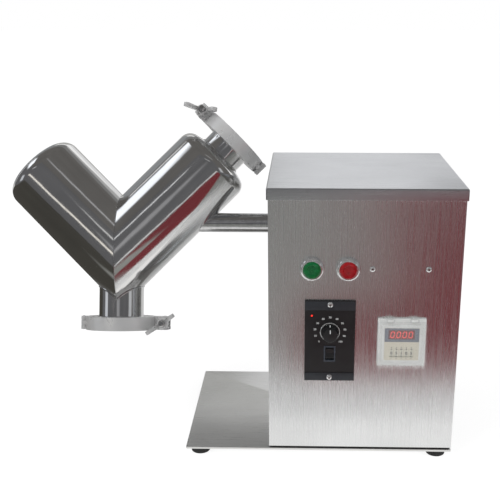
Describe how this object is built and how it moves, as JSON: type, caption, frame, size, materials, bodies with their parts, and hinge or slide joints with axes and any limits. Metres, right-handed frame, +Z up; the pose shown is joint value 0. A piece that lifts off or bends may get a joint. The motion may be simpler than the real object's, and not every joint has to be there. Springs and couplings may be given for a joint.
{
  "type": "v-blender",
  "caption": "Laboratory V-blender: a polished V-shaped drum on an overhung shaft, driven by a motor in a steel cabinet with a speed control and a timer.",
  "frame": {"origin": "on the floor, under the middle of the base plate, in the plane of the four feet", "axes": "+X from the drum towards the cabinet, +Y from the control panel to the back, +Z up"},
  "size_m": [0.569, 0.2404, 0.4326],
  "materials": {
    "steel_plate": "brushed",
    "rubber": "matt",
    "screw_steel": "bright",
    "cabinet_sheet": "fine brushed",
    "frame_paint": "satin",
    "cast_grey": "painted casting",
    "seal_nylon": "smooth",
    "gear_case": "die cast",
    "motor_case": "satin",
    "panel_black": "fine grained",
    "body_grey": "moulded",
    "timer_white": "moulded",
    "timer_blue": "printed",
    "bezel_chrome": "mirror",
    "terminal_beige": "moulded",
    "capacitor_can": "drawn can",
    "lens_green": "translucent",
    "lens_red": "translucent",
    "clear_cover": "clear moulded",
    "polished_steel": "mirror polished stainless",
    "seal_white": "smooth",
    "cast_steel": "satin investment casting",
    "aluminium_alloy": "machined",
    "wheel_cream": "moulded"
  },
  "bodies": {
    "cabinet": {"base_plate": "steel_plate", "rubber_feet": "rubber", "foot_screws": "screw_steel", "sealing_strip": "rubber", "cabinet_shell": "cabinet_sheet", "rear_panel": "cabinet_sheet", "rear_screws": "screw_steel", "cabinet_bolts": "screw_steel", "drive_frame": "frame_paint", "bearing_housings": "cast_grey", "shaft_seal": "seal_nylon", "gearbox": "gear_case", "motor": "motor_case", "motor_bracket": "frame_paint", "motor_bolts": "screw_steel", "drive_belt": "rubber", "speed_panel": "panel_black", "speed_body": "body_grey", "speed_screws": "screw_steel", "rocker_bezel": "panel_black", "timer_housing": "timer_white", "timer_face": "timer_blue", "green_bezel": "bezel_chrome", "red_bezel": "bezel_chrome", "contact_blocks": "body_grey", "panel_screws": "screw_steel", "terminal_rail": "terminal_beige", "capacitor": "capacitor_can", "power_inlet": "panel_black"},
    "lid": {"top_lid": "cabinet_sheet"},
    "green_button": {"green_button": "lens_green"},
    "red_button": {"red_button": "lens_red"},
    "speed_knob": {"speed_knob": "panel_black"},
    "rocker_switch": {"rocker_switch": "panel_black"},
    "timer_cover": {"timer_cover": "clear_cover"},
    "drum": {"left_leg": "polished_steel", "right_leg": "polished_steel", "left_end_cap": "polished_steel", "right_end_cap": "polished_steel", "inlet_neck": "polished_steel", "outlet_neck": "polished_steel", "gaskets": "seal_white", "inlet_cap": "polished_steel", "outlet_cap": "polished_steel", "inlet_clamp": "cast_steel", "outlet_clamp": "cast_steel", "clamp_pins": "screw_steel", "main_shaft": "polished_steel", "driven_pulley": "aluminium_alloy", "bearing_inserts": "screw_steel"},
    "inlet_bolt": {"inlet_bolt": "screw_steel"},
    "inlet_nut": {"inlet_nut": "cast_steel"},
    "outlet_bolt": {"outlet_bolt": "screw_steel"},
    "outlet_nut": {"outlet_nut": "cast_steel"},
    "motor_pulley": {"motor_pulley": "aluminium_alloy"},
    "digit_wheel_1": {"digit_wheel_1": "wheel_cream"},
    "digit_wheel_2": {"digit_wheel_2": "wheel_cream"},
    "digit_wheel_3": {"digit_wheel_3": "wheel_cream"},
    "digit_wheel_4": {"digit_wheel_4": "wheel_cream"},
    "digit_wheel_5": {"digit_wheel_5": "wheel_cream"}
  },
  "joints": [
    {"name": "drum_spin", "type": "hinge", "parent": "cabinet", "child": "drum", "pos_m": [-0.062, 0.0015, 0.278], "axis": [1, 0, 0], "continuous": true},
    {"name": "motor_pulley_spin", "type": "hinge", "parent": "cabinet", "child": "motor_pulley", "pos_m": [0, 0.0015, 0.075], "axis": [1, 0, 0], "continuous": true},
    {"name": "inlet_bolt_swing", "type": "hinge", "parent": "drum", "child": "inlet_bolt", "pos_m": [-0.15205, 0.05717, 0.41203], "axis": [-0.7071, -0.2302, -0.6686], "range_deg": [0, 75]},
    {"name": "inlet_nut_spin", "type": "hinge", "parent": "inlet_bolt", "child": "inlet_nut", "pos_m": [-0.15205, 0.03353, 0.42017], "axis": [0, -0.9455, 0.3256], "continuous": true},
    {"name": "outlet_bolt_swing", "type": "hinge", "parent": "drum", "child": "outlet_bolt", "pos_m": [-0.2007, -0.03281, 0.1507], "axis": [0, 0.3256, 0.9455], "range_deg": [0, 75]},
    {"name": "outlet_nut_spin", "type": "hinge", "parent": "outlet_bolt", "child": "outlet_nut", "pos_m": [-0.2007, -0.05645, 0.15884], "axis": [0, -0.9455, 0.3256], "continuous": true},
    {"name": "lid_lift", "type": "slide", "parent": "cabinet", "child": "lid", "axis": [0, 0, 1], "range_m": [0, 0.06]},
    {"name": "green_button_press", "type": "slide", "parent": "cabinet", "child": "green_button", "axis": [0, 1, 0], "range_m": [0, 0.0035], "stiffness_N_per_m": 600},
    {"name": "red_button_press", "type": "slide", "parent": "cabinet", "child": "red_button", "axis": [0, 1, 0], "range_m": [0, 0.0035], "stiffness_N_per_m": 600},
    {"name": "speed_knob_turn", "type": "hinge", "parent": "cabinet", "child": "speed_knob", "pos_m": [0.0125, -0.1095, 0.1732], "axis": [0, -1, 0], "range_deg": [-135, 135]},
    {"name": "rocker_tip", "type": "hinge", "parent": "cabinet", "child": "rocker_switch", "pos_m": [0.0125, -0.107, 0.1442], "axis": [1, 0, 0], "range_deg": [0, 18]},
    {"name": "timer_cover_open", "type": "hinge", "parent": "cabinet", "child": "timer_cover", "pos_m": [0.0993, -0.1155, 0.1891], "axis": [-1, 0, 0], "range_deg": [0, 105]},
    {"name": "digit_wheel_1_turn", "type": "hinge", "parent": "cabinet", "child": "digit_wheel_1", "pos_m": [0.0873, -0.1062, 0.147], "axis": [1, 0, 0], "continuous": true},
    {"name": "digit_wheel_2_turn", "type": "hinge", "parent": "cabinet", "child": "digit_wheel_2", "pos_m": [0.0933, -0.1062, 0.147], "axis": [1, 0, 0], "continuous": true},
    {"name": "digit_wheel_3_turn", "type": "hinge", "parent": "cabinet", "child": "digit_wheel_3", "pos_m": [0.0993, -0.1062, 0.147], "axis": [1, 0, 0], "continuous": true},
    {"name": "digit_wheel_4_turn", "type": "hinge", "parent": "cabinet", "child": "digit_wheel_4", "pos_m": [0.1053, -0.1062, 0.147], "axis": [1, 0, 0], "continuous": true},
    {"name": "digit_wheel_5_turn", "type": "hinge", "parent": "cabinet", "child": "digit_wheel_5", "pos_m": [0.1113, -0.1062, 0.147], "axis": [1, 0, 0], "continuous": true}
  ],
  "couplings": [
    {"joint": "motor_pulley_spin", "follows": "drum_spin", "ratio": 2}
  ]
}
